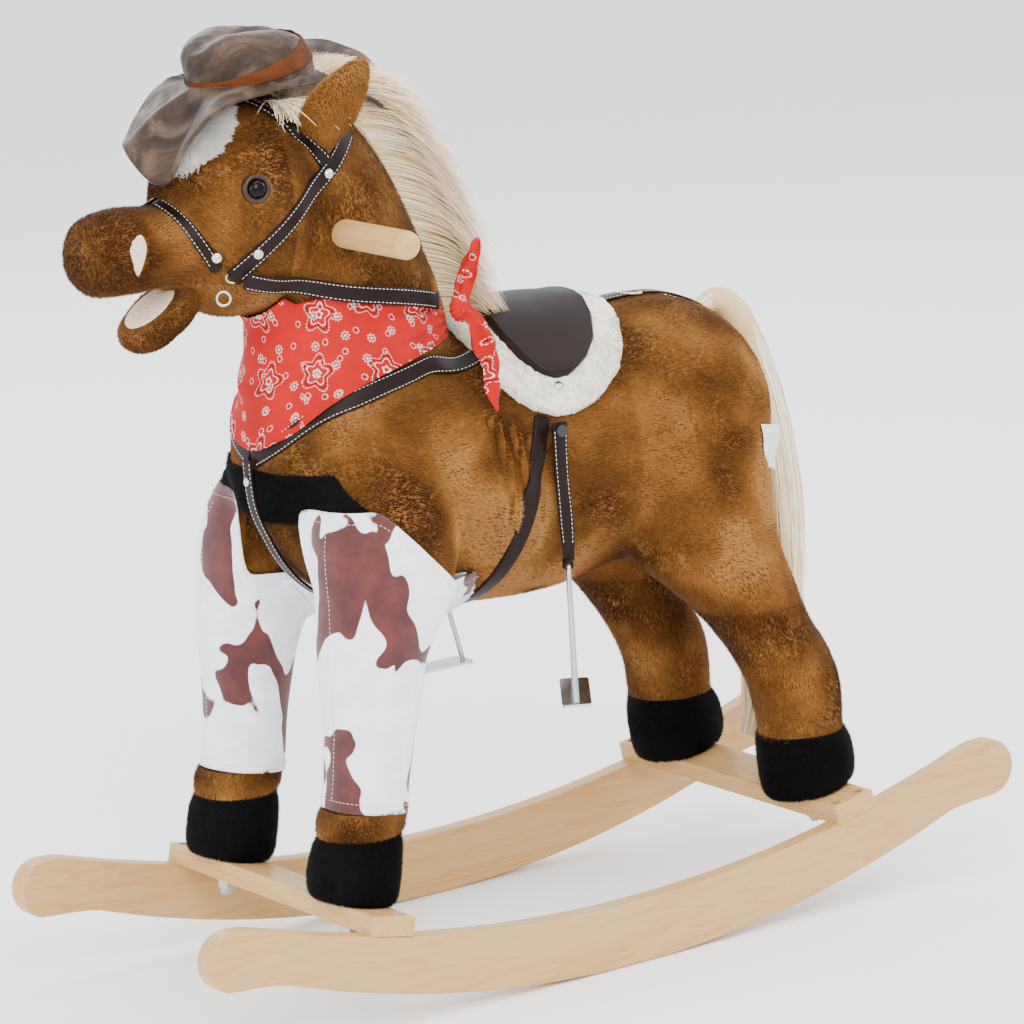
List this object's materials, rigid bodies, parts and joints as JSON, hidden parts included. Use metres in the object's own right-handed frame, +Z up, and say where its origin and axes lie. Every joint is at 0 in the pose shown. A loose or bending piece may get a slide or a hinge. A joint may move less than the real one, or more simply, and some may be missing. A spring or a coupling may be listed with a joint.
{
  "type": "plush rocking horse",
  "caption": "Stuffed plush pony with saddle, bridle, hat, bandana and chaps on curved pine rockers, with hanging stirrups.",
  "frame": {"origin": "on the floor under the middle of the rockers, which stand level", "axes": "+X towards the horse's head, +Y to the horse's left, +Z up"},
  "size_m": [0.74, 0.28, 0.7197],
  "materials": {
    "battery_case": "printed steel cell",
    "beige_velour": "short velour",
    "black_plastic": "moulded, fine texture",
    "black_plush": "short dense pile",
    "brown_plush": "short dense pile, crushed in patches",
    "brown_vinyl": "smooth dark brown vinyl, white stitching",
    "circuit_green": "green solder mask",
    "cow_print_cloth": "short velour, white with maroon patches",
    "cream_fleece": "curly sherpa fleece",
    "cream_hair": "long straight synthetic hair",
    "eye_gloss": "polished black",
    "nickel_fittings": "nickel plated",
    "pine": "clear satin varnish on pale pine",
    "plated_steel": "bright zinc plated rod and plate",
    "plywood": "raw birch plywood",
    "red_cotton": "printed cotton, white and black figures",
    "rust_ribbon": "ribbed ribbon",
    "steel_tube": "black powder coat",
    "taupe_velour": "satin velour",
    "white_label": "woven label, blank",
    "white_plush": "short pile",
    "zinc_hardware": "zinc plated"
  },
  "bodies": {
    "horse": {"bandana": "red_cotton", "bandana_knot": "red_cotton", "batteries": "battery_case", "battery_door": "black_plastic", "blaze": "white_plush", "breast_collar": "brown_vinyl", "bridle": "brown_vinyl", "bridle_hardware": "nickel_fittings", "care_label": "white_label", "chaps": "cow_print_cloth", "chaps_belt": "black_plush", "circuit_board": "circuit_green", "crossbar_screws": "zinc_hardware", "crupper_strap": "brown_vinyl", "ears": "brown_plush", "eyes": "eye_gloss", "frame_clips": "zinc_hardware", "front_crossbar": "pine", "front_leg_frame": "steel_tube", "front_legs": "brown_plush", "girth_strap": "brown_vinyl", "handle_bar": "pine", "hat_band": "rust_ribbon", "hat_brim": "taupe_velour", "hat_crown": "taupe_velour", "head": "brown_plush", "hooves": "black_plush", "jaw_bracket": "zinc_hardware", "leather_pins": "nickel_fittings", "left_rocker": "pine", "leg_bolts": "zinc_hardware", "leg_cuffs": "brown_plush", "leg_nuts": "zinc_hardware", "mane": "cream_hair", "mouth_drive": "black_plastic", "muzzle": "brown_plush", "neck": "brown_plush", "neck_board": "plywood", "nostril_patches": "beige_velour", "rear_crossbar": "pine", "rear_leg_frame": "steel_tube", "rear_legs": "brown_plush", "reins": "brown_vinyl", "right_rocker": "pine", "saddle_fleece": "cream_fleece", "saddle_seat": "brown_vinyl", "sound_box": "black_plastic", "speaker": "black_plastic", "spine_board": "plywood", "tail_drive": "black_plastic", "tail_pin": "zinc_hardware", "torso": "brown_plush"},
    "jaw": {"jaw": "brown_plush", "jaw_lining": "beige_velour"},
    "tail": {"tail": "cream_hair"},
    "ear_button": {"ear_button": "black_plastic"},
    "left_leather": {"left_stirrup_leather": "brown_vinyl"},
    "right_leather": {"right_stirrup_leather": "brown_vinyl"},
    "left_stirrup": {"left_stirrup": "plated_steel"},
    "right_stirrup": {"right_stirrup": "plated_steel"}
  },
  "joints": [
    {"name": "left_leather_swing", "type": "hinge", "parent": "horse", "child": "left_leather", "pos_m": [0.014, 0.101, 0.405], "axis": [0, 1, 0], "range_deg": [-20, 17]},
    {"name": "right_leather_swing", "type": "hinge", "parent": "horse", "child": "right_leather", "pos_m": [0.014, -0.101, 0.405], "axis": [0, 1, 0], "range_deg": [-20, 20]},
    {"name": "left_stirrup_swing", "type": "hinge", "parent": "left_leather", "child": "left_stirrup", "pos_m": [0.014, 0.101, 0.304], "axis": [0.5592, 0.829, 0], "range_deg": [-30, 30]},
    {"name": "right_stirrup_swing", "type": "hinge", "parent": "right_leather", "child": "right_stirrup", "pos_m": [0.014, -0.101, 0.296], "axis": [1, 0, 0], "range_deg": [-30, 30]},
    {"name": "jaw_hinge", "type": "hinge", "parent": "horse", "child": "jaw", "pos_m": [0.268, 0, 0.528], "axis": [0, 1, 0], "range_deg": [-10, 0]},
    {"name": "tail_swing", "type": "hinge", "parent": "horse", "child": "tail", "pos_m": [-0.205, 0, 0.44], "axis": [1, 0, 0], "range_deg": [-5, 5]},
    {"name": "ear_button_press", "type": "slide", "parent": "horse", "child": "ear_button", "axis": [0, -1, 0], "range_m": [0, 0.002], "stiffness_N_per_m": 300}
  ]
}
